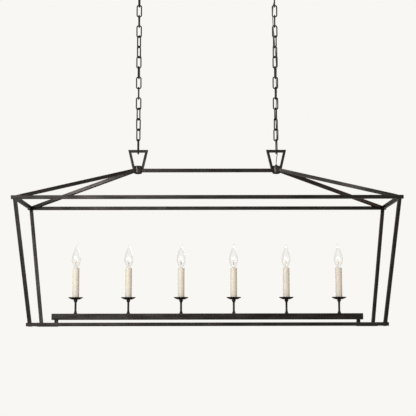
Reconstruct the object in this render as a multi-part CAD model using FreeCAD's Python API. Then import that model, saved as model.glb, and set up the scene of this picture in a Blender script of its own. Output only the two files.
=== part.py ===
import FreeCAD, Part

import math
import os

# Linear island pendant: an open lantern frame of square steel tube, hung from the ceiling by two
# chains, with six candle lights on a bar near its foot.
# Millimetres. The origin lies in the ceiling plane, midway between the two chains.
# +Z is up, +X runs along the lantern and -Y faces the viewer.

Vector = FreeCAD.Vector
UP = Vector(0, 0, 1)

# Heights are given above the centre line of the bottom rails, and level() turns them into z.
drop = 1284.0


def level(height):
    """The z of a height above the bottom rails."""
    return height - drop


# Frame
overall_length = 1372.0
rail_overshoot = 13.0
top_x = overall_length / 2 - rail_overshoot
top_y = 159.0
bottom_x = 618.0
bottom_y = 120.0
tube = 12.7
tube_wall = 1.2
half = tube / 2
bore = tube - 2 * tube_wall
top_rail_z = level(441.5)
bottom_rail_z = level(0.0)
ridge_z = level(561.5)
chain_x = 254.0
plug_cap = 1.5
plug_depth = 6.0
fit = 0.1

# Hubs, where the ridge and the hip rafters meet under each chain
hub_r = 14.3
hub_wall = 2.8
hub_base_z = level(552.6)
hub_top_z = level(578.0)
hub_chamfer = 1.0
rafter_head_z = level(565.7)
rafter_foot_x = top_x - 3.0
rafter_foot_y = top_y - 1.5

# Hangers, the tapered stirrups that the chains hook into
hanger_bar = 9.5
hanger_bar_z = level(633.2)
hanger_top_x = 31.0
hanger_foot_x = 18.0
hanger_foot_z = level(577.7)
hanger_reach_z = level(560.0)

# Chains
link_wire = 4.8
link_length = 39.4
end_link_length = 48.4
link_width = 11.4
link_corner = 6.6
link_count = 15
body_gap = 0.3
bar_seat_rise = 1.6
# Angle of each link's plane from the lantern's length, from the lowest link up
left_link_turns = (83, -42, 42, -48, 8, 90, 0, 78, -18, 52, -45, 5, 85, -3, 80)
right_link_turns = (87, -33, 45, -72, 3, 90, 0, 72, -28, 35, -58, 5, 88, 0, 85)

# Ceiling fittings
canopy_r = 63.5
canopy_wall = 1.2
canopy_foot_z = level(1262.0)
collar_r = 12.7
collar_foot_z = level(1254.0)
collar_top_z = level(1268.0)
shoulder_r = 8.0
shoulder_z = level(1250.5)
ring_r = 18.0
ring_flutes = 24
flute_r = 1.2
loop_wire = 5.0
loop_inner = 24.0
loop_corner = 10.0
nipple_r = 4.8
nipple_bore_r = 3.2
nipple_foot_z = level(1257.0)
bracket_length = 108.0
bracket_width = 19.0
bracket_thick = 2.5
bracket_hole_spacing = 88.9
bracket_hole_r = 2.25
nut_across_flats = 14.3
nut_height = 4.0
ground_screw_y = 24.0
ground_screw_r = 2.0
ground_head_r = 4.0
ground_head_height = 2.4

# Supply cord. Its route is offsets from the right chain's axis and heights above the bottom rails,
# from inside the ceiling loop, down through the chain's links, to the hub's bushing.
cord_r = 1.6
cord_hole_r = 1.8
cord_route = (
    (0.0, 0.0, 1261.0),
    (0.0, 0.1, 1246.0),
    (5.3, 4.6, 1233.0),
    (4.3, 4.7, 1219.0),
    (-3.5, -3.5, 1196.5),
    (-7.9, -8.1, 1166.5),
    (-7.8, -8.6, 1136.5),
    (-6.6, -8.6, 1106.5),
    (-4.6, -8.7, 1076.5),
    (-2.2, -9.1, 1046.5),
    (0.2, -9.8, 1016.5),
    (2.3, -10.3, 986.5),
    (3.7, -9.8, 956.5),
    (4.1, -7.1, 926.5),
    (3.1, -1.1, 896.5),
    (5.0, 5.7, 866.5),
    (4.8, 9.4, 836.5),
    (3.4, 11.0, 806.5),
    (2.0, 11.3, 776.5),
    (1.7, 11.2, 746.5),
    (2.6, 10.9, 716.5),
    (4.1, 10.3, 686.5),
    (5.4, 9.3, 656.5),
    (5.3, 7.1, 627.0),
    (2.7, 3.3, 611.0),
    (0.0, 0.0, 595.0),
    (0.0, 0.0, 579.0),
)
bushing_foot_z = level(575.2)
bushing_top_z = level(583.0)
bushing_flange_r = 6.0
bushing_body_r = 4.0

# Candle bar and its carriers
bar_length = 1121.0
bar_width = 25.0
bar_height = 22.5
bar_wall = 1.5
bar_z = level(27.8)
riser_x = 544.5
arm_height = 14.0

# Candles
candle_count = 6
candle_pitch = 190.5
candle_xs = [candle_pitch * (i - (candle_count - 1) / 2) for i in range(candle_count)]
stem_tail_r = 4.0
stem_bore_r = 2.0
pan_r = 26.4
pan_foot_z = level(88.8)
pan_rim_z = level(97.9)
pan_wall = 1.3
sleeve_r = 12.2
sleeve_bore_r = 10.6
sleeve_foot_z = level(96.0)
sleeve_top_z = level(203.0)
socket_r = 9.8
socket_bore_r = 6.3
socket_floor_z = level(175.0)
socket_top_z = level(200.0)
leg_r = 5.0
leg_bore_r = 3.2
bulb_base_r = 5.9
bulb_base_wall = 0.6
glass_foot_z = level(202.0)
glass_wall = 0.8
# Outside radius of the flame-shaped glass at heights above its foot
glass_outline = (
    (0.0, 6.2), (3.0, 6.8), (8.0, 8.8), (14.0, 12.1), (22.0, 15.0), (30.0, 16.0),
    (38.0, 15.6), (46.0, 14.0), (54.0, 11.9), (62.0, 9.4), (70.0, 6.4), (77.0, 3.7), (84.0, 2.1),
    (90.0, 0.9),
)
tip_bend_from = 50.0
tip_bend = 3.2
# Direction that each bulb's bent tip leans, from +X
tip_turns = (15, -20, 10, 95, 30, 170)

# Wiring inside the frame
wire_r = 1.6
wire_way_r = 2.6
wire_bend = 4.0
drop_wire_r = 1.3


# Basic shapes

def block(x0, x1, y0, y1, z0, z1):
    """A box between two corners."""
    return Part.makeBox(x1 - x0, y1 - y0, z1 - z0, Vector(x0, y0, z0))


def upright(radius, z0, z1, x=0.0, y=0.0):
    """A vertical cylinder."""
    return Part.makeCylinder(radius, z1 - z0, Vector(x, y, z0))


def prism(start, end, width, face_up):
    """A square bar between two points, one pair of its faces turned towards face_up."""
    run = end - start
    side = run.cross(face_up).normalize()
    top = side.cross(run).normalize()
    signs = ((-1, -1), (1, -1), (1, 1), (-1, 1), (-1, -1))
    corners = [start + side * (a * width / 2) + top * (b * width / 2) for a, b in signs]
    return Part.Face(Part.makePolygon(corners)).extrude(run)


def turned(profile, x=0.0, y=0.0):
    """A body of revolution about a vertical axis.

    The profile is (radius, z) corners, and (radius, z, end radius, end z) is an arc through
    its first point to its second."""
    edges = []
    here = Vector(x + profile[0][0], y, profile[0][1])
    for item in profile[1:] + profile[:1]:
        end = Vector(x + item[-2], y, item[-1])
        if len(item) == 4:
            through = Vector(x + item[0], y, item[1])
            edges.append(Part.Arc(here, through, end).toShape())
        else:
            edges.append(Part.LineSegment(here, end).toShape())
        here = end
    return Part.Face(Part.Wire(edges)).revolve(Vector(x, y, 0), UP, 360)


def largest(shape):
    """The largest solid of a shape, without the slivers that a trim leaves."""
    return max(shape.Solids, key=lambda solid: solid.Volume)


def group(shapes):
    """Separate solids kept together."""
    return Part.makeCompound(shapes)


def tube_between(start, end, face_up, over=0.0):
    """Outside and bore of a square tube that runs past both of its ends by over."""
    reach = (end - start).normalize() * over
    bore_reach = (end - start).normalize() * (over + 1.0)
    outside = prism(start - reach, end + reach, tube, face_up)
    inside = prism(start - bore_reach, end + bore_reach, bore, face_up)
    return outside, inside


def straight_tube(start, end):
    """A square tube with square ends."""
    outside, inside = tube_between(start, end, UP)
    return outside.cut(inside)


def bent_path(points, bend=None):
    """Straight runs joined by tangent arcs, as large as the runs allow unless a bend is given.

    Returns the wire and the arcs' radii."""
    edges = []
    radii = []
    here = points[0]
    for before, corner, after in zip(points, points[1:], points[2:]):
        into = (corner - before).normalize()
        out = (after - corner).normalize()
        slope = math.tan(into.getAngle(out) / 2)
        run = min((corner - before).Length, (after - corner).Length)
        radius = bend or 0.45 * run / slope
        arc_start = corner - into * (radius * slope)
        arc_end = corner + out * (radius * slope)
        inward = (out - into).normalize()
        middle = corner + inward * (radius * (math.hypot(1, slope) - 1))
        edges.append(Part.LineSegment(here, arc_start).toShape())
        edges.append(Part.Arc(arc_start, middle, arc_end).toShape())
        radii.append(radius)
        here = arc_end
    edges.append(Part.LineSegment(here, points[-1]).toShape())
    return Part.Wire(edges), radii


def pipe(wire, radius):
    """A round bar swept along a wire."""
    first = wire.Edges[0]
    ring = Part.makeCircle(radius, first.Vertexes[0].Point, first.tangentAt(first.FirstParameter))
    return wire.makePipeShell([Part.Wire(ring)], True, False)


def oval_link(length, width, wire, corner, foot_z):
    """A closed link of round wire in the XZ plane, its inner foot at foot_z."""
    side = (width + wire) / 2
    flat = side - corner
    low = foot_z - wire / 2
    high = foot_z + length + wire / 2
    middle = (low + high) / 2
    bend = corner * math.sqrt(0.5)

    def line(x0, z0, x1, z1):
        return Part.LineSegment(Vector(x0, 0, z0), Vector(x1, 0, z1)).toShape()

    def arc(x_sign, edge_z, z_sign):
        centre_z = edge_z - z_sign * corner
        return Part.Arc(Vector(x_sign * flat, 0, edge_z),
                        Vector(x_sign * (flat + bend), 0, centre_z + z_sign * bend),
                        Vector(x_sign * side, 0, centre_z)).toShape()

    edges = [
        line(side, middle, side, high - corner),
        arc(1, high, 1),
        line(flat, high, -flat, high),
        arc(-1, high, 1),
        line(-side, high - corner, -side, low + corner),
        arc(-1, low, -1),
        line(-flat, low, flat, low),
        arc(1, low, -1),
        line(side, low + corner, side, middle),
    ]
    ring = Part.Wire(Part.makeCircle(wire / 2, Vector(side, 0, middle), UP))
    return Part.Wire(edges).makePipeShell([ring], True, False)


# Chains and ceiling fittings

# The lowest link's foot lies under the hanger's bar, whose lower corners meet its bends.
chain_foot_z = hanger_bar_z - hanger_bar / 2 - bar_seat_rise - body_gap
second_link_foot_z = chain_foot_z + end_link_length
top_link_foot_z = second_link_foot_z + (link_count - 2) * link_length - body_gap
loop_foot_z = top_link_foot_z + link_length - body_gap


def chain_link(foot_z, turn, x, length=link_length):
    """One chain link, its plane turned about the chain's axis."""
    link = oval_link(length, link_width, link_wire, link_corner, foot_z)
    link.rotate(Vector(0, 0, 0), UP, turn)
    link.translate(Vector(x, 0, 0))
    return link


def chain(x, turns):
    """All of a chain's links but the top one, the long one round the hanger's bar first."""
    links = [chain_link(chain_foot_z, turns[0], x, end_link_length)]
    feet = [second_link_foot_z + i * link_length for i in range(link_count - 2)]
    return group(links + [chain_link(foot, turn, x) for foot, turn in zip(feet, turns[1:])])


def ceiling_bracket(x):
    """The strap that is screwed across the ceiling box."""
    strap = block(x - bracket_width / 2, x + bracket_width / 2,
                  -bracket_length / 2, bracket_length / 2, -bracket_thick, 0)
    holes = [(bracket_hole_spacing / 2, bracket_hole_r), (-bracket_hole_spacing / 2, bracket_hole_r),
             (0, nipple_r + fit), (ground_screw_y, ground_screw_r + fit)]
    for y, radius in holes:
        strap = strap.cut(upright(radius, -bracket_thick - 1, 1, x, y))
    return strap


def bracket_nipple(x):
    """The threaded tube that joins the strap and the loop."""
    return upright(nipple_r, nipple_foot_z, 0, x).cut(upright(nipple_bore_r, nipple_foot_z - 1, 1, x))


def nipple_nut(x):
    """The hexagon nut that locks the nipple under the strap."""
    radius = nut_across_flats / math.sqrt(3)
    turns = [math.radians(60 * i) for i in range(7)]
    foot = -bracket_thick - nut_height
    corners = [Vector(x + radius * math.cos(t), radius * math.sin(t), foot) for t in turns]
    nut = Part.Face(Part.makePolygon(corners)).extrude(Vector(0, 0, nut_height))
    return nut.cut(upright(nipple_r + fit, foot - 1, 0, x))


def ground_screw(x):
    """The earthing screw in the strap."""
    foot = -bracket_thick - ground_head_height
    head = upright(ground_head_r, foot, -bracket_thick, x, ground_screw_y)
    return head.fuse(upright(ground_screw_r, foot, 0, x, ground_screw_y))


def canopy(x):
    """The pressed cover over the ceiling box, with its rim on the ceiling."""
    foot = canopy_foot_z
    inner = canopy_foot_z + canopy_wall
    rim = canopy_r - canopy_wall
    hole = collar_r + 3 * fit
    return turned([
        (hole, foot), (30.0, foot), (52.5, foot + 4.6, canopy_r, foot + 18.0), (canopy_r, 0),
        (rim, 0), (rim, foot + 18.2), (51.7, inner + 4.7, 30.0, inner), (hole, inner),
    ], x)


def canopy_loop(x):
    """The loop that the chain hangs from, with the collar that carries the canopy."""
    eye = oval_link(loop_inner, loop_inner, loop_wire, loop_corner, loop_foot_z)
    eye.translate(Vector(x, 0, 0))
    collar = turned([(0, shoulder_z), (shoulder_r, shoulder_z), (collar_r, collar_foot_z),
                     (collar_r, collar_top_z), (0, collar_top_z)], x)
    loop = eye.fuse(collar)
    loop = loop.cut(upright(nipple_r + fit / 2, nipple_foot_z, collar_top_z + 1, x))
    return loop.cut(upright(cord_hole_r, loop_foot_z + loop_inner - 1, nipple_foot_z + 1, x))


def collar_ring(x):
    """The fluted ring that screws onto the collar and holds the canopy up."""
    ring = upright(ring_r, collar_foot_z, canopy_foot_z, x)
    ring = ring.cut(upright(collar_r + fit, collar_foot_z - 1, canopy_foot_z + 1, x))
    for i in range(ring_flutes):
        turn = 2 * math.pi * i / ring_flutes
        spot = (x + (ring_r + flute_r / 2) * math.cos(turn), (ring_r + flute_r / 2) * math.sin(turn))
        ring = ring.cut(upright(flute_r, collar_foot_z - 1, canopy_foot_z + 1, *spot))
    return ring


# Supply cord

cord_points = [Vector(chain_x + x, y, level(height)) for x, y, height in cord_route]
cord_path, cord_radii = bent_path(cord_points)
cord_tube = pipe(cord_path, cord_r)
print("cord length", round(cord_path.Length, 1), "least bend", round(min(cord_radii), 1))
print("cord volume", round(cord_tube.Volume, 1), "of", round(math.pi * cord_r ** 2 * cord_path.Length, 1))

# The cord bends where the chain is hinged, so it is cut at the heights of those hinges.
upper_hinge_z = top_link_foot_z - link_wire / 2
lower_hinge_z = chain_foot_z - link_wire / 2


def cord_between(z0, z1):
    """The stretch of the cord between two heights."""
    reach = 30.0
    return cord_tube.common(block(chain_x - reach, chain_x + reach, -reach, reach, z0, z1))


def cord_bushing():
    """The bush that lines the hub's cord hole."""
    return turned([
        (cord_hole_r, bushing_foot_z), (bushing_body_r, bushing_foot_z), (bushing_body_r, hub_top_z),
        (bushing_flange_r, hub_top_z), (bushing_flange_r, hub_top_z + 1.2),
        (3.0, bushing_top_z), (cord_hole_r, bushing_top_z),
    ], chain_x)


# Wiring inside the frame, from the right hub to the candle bar

wire_points = [
    Vector(chain_x, 0, level(cord_route[-1][2])),
    Vector(chain_x, 0, rafter_head_z),
    Vector(top_x, top_y, top_rail_z),
    Vector(bottom_x, bottom_y, bottom_rail_z),
    Vector(bottom_x, 0, bottom_rail_z),
    Vector(riser_x, 0, bottom_rail_z),
    Vector(riser_x, 0, bar_z),
]
wire_path = bent_path(wire_points, wire_bend)[0]
wire_way = pipe(wire_path, wire_way_r)


def wiring():
    """The leads inside the frame, the run along the bar and a drop to each socket."""
    leads = pipe(wire_path, wire_r)
    run_start = Vector(candle_xs[0], 0, bar_z)
    run = Part.makeCylinder(wire_r, riser_x - candle_xs[0], run_start, Vector(1, 0, 0))
    drops = [upright(drop_wire_r, bar_z, socket_floor_z - 3, x) for x in candle_xs]
    return leads.fuse([run] + drops).removeSplitter()


# Lantern frame

def rail_box(x_half, y, z):
    """Outside of a long rail."""
    return block(-x_half, x_half, y - half, y + half, z - half, z + half)


def long_rail(x_corner, y, z):
    """A long rail, open at both ends for its plugs."""
    reach = x_corner + rail_overshoot - plug_cap
    return straight_tube(Vector(-reach, y, z), Vector(reach, y, z))


def end_rail(x, y_corner, z):
    """A short rail between the two long ones."""
    reach = y_corner - half
    return straight_tube(Vector(x, -reach, z), Vector(x, reach, z))


def rail_plug(x_corner, x_side, y, z):
    """The plug in a long rail's end."""
    tip = x_corner + rail_overshoot
    shank = bore / 2 - fit
    cap = block(tip - plug_cap, tip, y - half, y + half, z - half, z + half)
    plug = cap.fuse(block(tip - plug_cap - plug_depth, tip - plug_cap,
                          y - shank, y + shank, z - shank, z + shank))
    return plug if x_side > 0 else plug.mirror(Vector(0, 0, 0), Vector(1, 0, 0))


def post(x_side, y_side):
    """A corner post, which leans out from the bottom rail's top to the top rail's foot."""
    foot = Vector(x_side * bottom_x, y_side * bottom_y, bottom_rail_z)
    head = Vector(x_side * top_x, y_side * top_y, top_rail_z)
    outside, inside = tube_between(foot, head, Vector(0, 1, 0), tube)
    reach = overall_length
    slab = block(-reach, reach, -reach, reach, bottom_rail_z + half, top_rail_z - half)
    return outside.cut(inside).common(slab)


def rafter_line(x_side, y_side):
    """Centre line of a hip rafter, from the hub's axis to the corner of the top rails."""
    return (Vector(x_side * chain_x, 0, rafter_head_z),
            Vector(x_side * top_x, y_side * top_y, top_rail_z))


def hub_core(x_side):
    """A hub's cylinder, filled."""
    return upright(hub_r, hub_base_z, hub_top_z, x_side * chain_x)


def hip_rafter(x_side, y_side):
    """A hip rafter, cut against the hub, its neighbour and the corner of the top rails."""
    head, foot = rafter_line(x_side, y_side)
    outside, inside = tube_between(head, foot, UP, tube)
    xs = sorted((0, x_side * rafter_foot_x))
    ys = sorted((0, y_side * rafter_foot_y))
    room = block(*xs, *ys, level(400), level(600))
    rafter = outside.cut(inside).common(room)
    corner_rails = [
        rail_box(overall_length / 2, y_side * top_y, top_rail_z),
        block(x_side * top_x - half, x_side * top_x + half, -top_y, top_y,
              top_rail_z - half, top_rail_z + half),
        hub_core(x_side),
    ]
    return largest(rafter.cut(corner_rails))


def ridge_tube():
    """The ridge between the two hubs."""
    ridge = straight_tube(Vector(-chain_x, 0, ridge_z), Vector(chain_x, 0, ridge_z))
    return largest(ridge.cut([hub_core(-1), hub_core(1)]))


def hub(x_side):
    """A turned hub, open below and closed above but for the cord's hole on the right."""
    inner = hub_r - hub_wall
    ceiling = hub_top_z - hub_wall
    body = turned([
        (0, ceiling), (inner, ceiling), (inner, hub_base_z), (hub_r, hub_base_z),
        (hub_r, hub_top_z - hub_chamfer), (hub_r - hub_chamfer, hub_top_z), (0, hub_top_z),
    ], x_side * chain_x)
    if x_side > 0:
        body = body.cut(upright(bushing_body_r + fit / 2, ceiling - 1, hub_top_z + 1, chain_x))
        body = body.cut(wire_way)
    return body


def hub_cap(x_side):
    """The domed cap that closes a hub from below."""
    skirt = hub_base_z - 1.6
    spigot = hub_r - hub_wall - fit
    return turned([
        (0, hub_base_z - 4.6), (hub_r * 0.55, hub_base_z - 3.9, hub_r - 0.8, skirt - 0.4),
        (hub_r, skirt), (hub_r, hub_base_z), (spigot, hub_base_z), (spigot, hub_base_z + 2),
        (0, hub_base_z + 2),
    ], x_side * chain_x)


def hanger(x_side):
    """A tapered stirrup of square bar, welded over the hub, the ridge and the rafters."""
    lean = (hanger_top_x - hanger_foot_x) / (hanger_bar_z - hanger_foot_z)
    edge = hanger_bar / 2 * math.hypot(1, lean)

    def half_width(z, side):
        return hanger_foot_x + (z - hanger_foot_z) * lean + side * edge

    top = hanger_bar_z + hanger_bar / 2
    under = hanger_bar_z - hanger_bar / 2
    outline = [(half_width(hanger_reach_z, 1), hanger_reach_z), (half_width(top, 1), top)]
    inline = [(half_width(under, -1), under), (half_width(hanger_reach_z, -1), hanger_reach_z)]
    corners = outline + [(-x, z) for x, z in outline[::-1]]
    corners += [(-x, z) for x, z in inline[::-1]] + inline
    points = [Vector(x_side * chain_x + x, -hanger_bar / 2, z) for x, z in corners]
    face = Part.Face(Part.makePolygon(points + points[:1]))
    stirrup = face.extrude(Vector(0, hanger_bar, 0))
    carriers = [hub_core(x_side), tube_between(
        Vector(-chain_x, 0, ridge_z), Vector(chain_x, 0, ridge_z), UP)[0]]
    carriers += [tube_between(*rafter_line(x_side, y_side), UP)[0] for y_side in (-1, 1)]
    return largest(stirrup.cut(carriers))


# Candle bar

def bar_arm(x_side):
    """The arm that runs in from a bottom end rail to carry the candle bar."""
    tip = riser_x - half
    root = bottom_x - half
    top = bottom_rail_z + half
    shell = block(tip, root, -half, half, top - arm_height, top)
    wall = tube_wall
    cavity = block(tip + wall, root + 1, -half + wall, half - wall, top - arm_height + wall, top - wall)
    arm = shell.cut(cavity)
    if x_side < 0:
        return arm.mirror(Vector(0, 0, 0), Vector(1, 0, 0))
    return arm.cut(wire_way)


def bar_riser(x_side):
    """The short tube between an arm and the candle bar."""
    foot = Vector(x_side * riser_x, 0, bottom_rail_z + half)
    head = Vector(x_side * riser_x, 0, bar_z - bar_height / 2)
    outside, inside = tube_between(foot, head, Vector(0, 1, 0))
    return outside.cut(inside)


def candle_bar():
    """The channel that carries the candles, open below."""
    reach = bar_length / 2
    side = bar_width / 2
    foot = bar_z - bar_height / 2
    top = bar_z + bar_height / 2
    shell = block(-reach, reach, -side, side, foot, top)
    shell = shell.cut(block(-reach + bar_wall, reach - bar_wall, -side + bar_wall, side - bar_wall,
                            foot - 1, top - bar_wall))
    for x in candle_xs:
        shell = shell.cut(upright(stem_tail_r + fit / 2, top - bar_wall - 1, top + 1, x))
    return shell


def candle_bar_cover():
    """The strip that closes the channel from below."""
    reach = bar_length / 2 - bar_wall - fit
    side = bar_width / 2 - bar_wall - fit
    foot = bar_z - bar_height / 2
    strip = block(-reach, reach, -side, side, foot, foot + bar_wall)
    return strip.cut(wire_way)


# Candles

def candle_stem(x):
    """The turned stem that carries one candle, threaded at both ends."""
    bar_top = bar_z + bar_height / 2
    neck = level(83.4)
    return turned([
        (stem_bore_r, bar_top - 4), (stem_tail_r, bar_top - 4), (stem_tail_r, bar_top),
        (6.8, bar_top), (6.8, bar_top + 1.4), (4.7, bar_top + 5.4, 3.75, bar_top + 12.0),
        (3.75, neck - 4.5), (4.6, neck - 1.6, 7.2, neck), (7.2, neck + 2.6),
        (5.8, neck + 3.8, 6.4, pan_foot_z), (stem_tail_r, pan_foot_z), (stem_tail_r, level(94.5)),
        (stem_bore_r, level(94.5)),
    ], x)


def drip_pan(x):
    """A dished pan with a short upright rim."""
    foot = pan_foot_z
    rim = pan_rim_z
    inner = pan_r - pan_wall
    return turned([
        (stem_tail_r + fit / 2, foot), (9.0, foot), (19.8, foot + 3.3, pan_r, rim - 1.9),
        (pan_r, rim - 0.5), (pan_r - 0.2, rim - 0.1, pan_r - 0.65, rim),
        (inner + 0.2, rim - 0.1, inner, rim - 0.5), (inner, rim - 1.5),
        (19.2, foot + 4.6, 8.6, foot + pan_wall), (stem_tail_r + fit / 2, foot + pan_wall),
    ], x)


def candle_socket(x):
    """A lamp socket on its leg, with the flange that the sleeve stands on."""
    return turned([
        (stem_tail_r + fit / 2, level(90.1)), (6.4, level(90.1)), (6.4, level(93.9)),
        (11.9, level(93.9)), (11.9, sleeve_foot_z), (leg_r, sleeve_foot_z),
        (leg_r, socket_floor_z - 4), (socket_r, socket_floor_z - 2), (socket_r, socket_top_z),
        (socket_bore_r, socket_top_z), (socket_bore_r, socket_floor_z), (leg_bore_r, socket_floor_z),
        (leg_bore_r, level(94.5)), (stem_tail_r + fit / 2, level(94.5)),
    ], x)


def candle_sleeve(x):
    """The candle-coloured tube over a socket."""
    lip = (sleeve_r - sleeve_bore_r) / 2
    return turned([
        (sleeve_bore_r, sleeve_foot_z), (sleeve_r, sleeve_foot_z), (sleeve_r, sleeve_top_z - lip),
        (sleeve_r - lip, sleeve_top_z, sleeve_bore_r, sleeve_top_z - lip),
    ], x)


def bulb_base(x):
    """A bulb's screw shell with its foot contact."""
    inner = bulb_base_r - bulb_base_wall
    seat = glass_foot_z - 1.6
    return turned([
        (0, level(176.2)), (2.5, level(176.2)), (2.5, level(178.0)), (4.4, level(178.6)),
        (bulb_base_r, level(180.6)), (bulb_base_r, seat - 0.6), (6.8, seat), (6.8, glass_foot_z),
        (inner, glass_foot_z), (inner, level(182.0)), (0, level(182.0)),
    ], x)


def flame(x, turn, inset, top):
    """A flame-shaped solid through the glass outline, inset by a wall, with a bent tip."""
    lean = math.radians(turn)
    rings = []
    for height, radius in glass_outline:
        if height <= top:
            rise = max(height - tip_bend_from, 0) / (glass_outline[-1][0] - tip_bend_from)
            shift = tip_bend * rise ** 2
            centre = Vector(x + shift * math.cos(lean), shift * math.sin(lean), glass_foot_z + height)
            rings.append(Part.Wire(Part.makeCircle(radius - inset, centre, UP)))
    return Part.makeLoft(rings, True)


def bulb_glass(x, turn):
    """A bulb's clear glass, open at its foot."""
    tip = glass_outline[-1][0]
    closed_top = 80.0
    return flame(x, turn, 0, tip).cut(flame(x, turn, glass_wall, closed_top))


# The nodes

sides = {"left": -1, "right": 1}
faces = {"front": -1, "back": 1}

parts = {
    "ceiling_brackets": group([ceiling_bracket(side * chain_x) for side in sides.values()]),
    "bracket_nipples": group([bracket_nipple(side * chain_x) for side in sides.values()]),
    "nipple_nuts": group([nipple_nut(side * chain_x) for side in sides.values()]),
    "ground_screws": group([ground_screw(side * chain_x) for side in sides.values()]),
    "canopies": group([canopy(side * chain_x) for side in sides.values()]),
    "collar_rings": group([collar_ring(side * chain_x) for side in sides.values()]),
    "chain_left": chain(-chain_x, left_link_turns),
    "chain_right": chain(chain_x, right_link_turns),
    "top_link_left": chain_link(top_link_foot_z, left_link_turns[-1], -chain_x),
    "top_link_right": chain_link(top_link_foot_z, right_link_turns[-1], chain_x),
    "supply_cord_top": cord_between(upper_hinge_z, 0),
    "supply_cord": cord_between(lower_hinge_z, upper_hinge_z),
    "supply_cord_foot": cord_between(level(500), lower_hinge_z),
    "cord_bushing": cord_bushing(),
    "ridge_tube": ridge_tube(),
    "hub_caps": group([hub_cap(side) for side in sides.values()]),
    "rail_plugs": group([
        rail_plug(x_corner, x_side, y_side * y_corner, z)
        for x_corner, y_corner, z in ((top_x, top_y, top_rail_z), (bottom_x, bottom_y, bottom_rail_z))
        for x_side in (-1, 1)
        for y_side in (-1, 1)
    ]),
    "bar_arms": group([bar_arm(side) for side in sides.values()]),
    "bar_risers": group([bar_riser(side) for side in sides.values()]),
    "candle_bar": candle_bar(),
    "candle_bar_cover": candle_bar_cover(),
    "candle_stems": group([candle_stem(x) for x in candle_xs]),
    "drip_pans": group([drip_pan(x) for x in candle_xs]),
    "candle_sockets": group([candle_socket(x) for x in candle_xs]),
    "candle_sleeves": group([candle_sleeve(x) for x in candle_xs]),
    "wiring": wiring(),
}

for side_name, side in sides.items():
    parts["canopy_loop_" + side_name] = canopy_loop(side * chain_x)
    parts["hub_" + side_name] = hub(side)
    parts["hanger_" + side_name] = hanger(side)
    parts["top_end_rail_" + side_name] = end_rail(side * top_x, top_y, top_rail_z)
    parts["bottom_end_rail_" + side_name] = end_rail(side * bottom_x, bottom_y, bottom_rail_z)

for face_name, face in faces.items():
    parts["top_rail_" + face_name] = long_rail(top_x, face * top_y, top_rail_z)
    parts["bottom_rail_" + face_name] = long_rail(bottom_x, face * bottom_y, bottom_rail_z)
    for side_name, side in sides.items():
        corner = face_name + "_" + side_name
        parts["post_" + corner] = post(side, face)
        parts["hip_rafter_" + corner] = hip_rafter(side, face)

# The leads pass through the tubes of the right back corner.
for node in ("top_rail_back", "bottom_rail_back", "bottom_end_rail_right", "post_back_right",
             "hip_rafter_back_right"):
    parts[node] = largest(parts[node].cut(wire_way))

for i, (x, turn) in enumerate(zip(candle_xs, tip_turns), start=1):
    parts["bulb_base_" + str(i)] = bulb_base(x)
    parts["bulb_glass_" + str(i)] = bulb_glass(x, turn)

os.makedirs("parts", exist_ok=True)
for node, shape in parts.items():
    shape.exportStep("parts/" + node + ".step")
    print(node, len(shape.Solids), shape.isValid(), round(shape.Volume, 1))
print(len(parts), "nodes")
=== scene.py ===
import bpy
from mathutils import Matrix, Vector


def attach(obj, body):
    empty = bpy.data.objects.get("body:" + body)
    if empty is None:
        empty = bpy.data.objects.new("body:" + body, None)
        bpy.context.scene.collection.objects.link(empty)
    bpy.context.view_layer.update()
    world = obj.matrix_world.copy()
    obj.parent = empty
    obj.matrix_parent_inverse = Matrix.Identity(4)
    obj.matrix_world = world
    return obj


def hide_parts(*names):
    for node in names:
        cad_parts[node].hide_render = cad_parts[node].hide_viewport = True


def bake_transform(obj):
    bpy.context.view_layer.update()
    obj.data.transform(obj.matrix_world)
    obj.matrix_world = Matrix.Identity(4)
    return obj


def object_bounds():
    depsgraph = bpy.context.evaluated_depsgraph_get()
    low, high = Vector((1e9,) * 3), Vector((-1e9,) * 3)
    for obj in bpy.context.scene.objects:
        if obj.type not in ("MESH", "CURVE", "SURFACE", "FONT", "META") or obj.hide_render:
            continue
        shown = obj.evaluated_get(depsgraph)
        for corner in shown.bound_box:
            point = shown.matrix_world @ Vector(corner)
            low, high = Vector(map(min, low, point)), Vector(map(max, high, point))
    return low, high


bl_info = {
    "name": "Lantern Pendant",
    "version": (1, 0, 0),
    "blender": (4, 5, 0),
    "location": "3D View > Sidebar > Lantern",
    "description": "Dresses the packed frame of a linear lantern pendant",
    "category": "Object",
}

from itertools import accumulate
from math import copysign, cos, hypot, pi, radians, sin, tan

import bmesh
import bpy
from bpy.props import FloatProperty, FloatVectorProperty, IntProperty, PointerProperty
from mathutils import Matrix, Vector, noise

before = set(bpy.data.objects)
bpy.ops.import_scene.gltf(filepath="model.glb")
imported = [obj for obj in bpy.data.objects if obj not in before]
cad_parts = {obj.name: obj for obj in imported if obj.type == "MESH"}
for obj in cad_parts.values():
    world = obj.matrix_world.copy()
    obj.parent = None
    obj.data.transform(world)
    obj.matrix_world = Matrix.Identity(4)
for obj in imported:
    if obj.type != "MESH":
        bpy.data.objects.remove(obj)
cad_box = [list(corner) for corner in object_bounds()]

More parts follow.
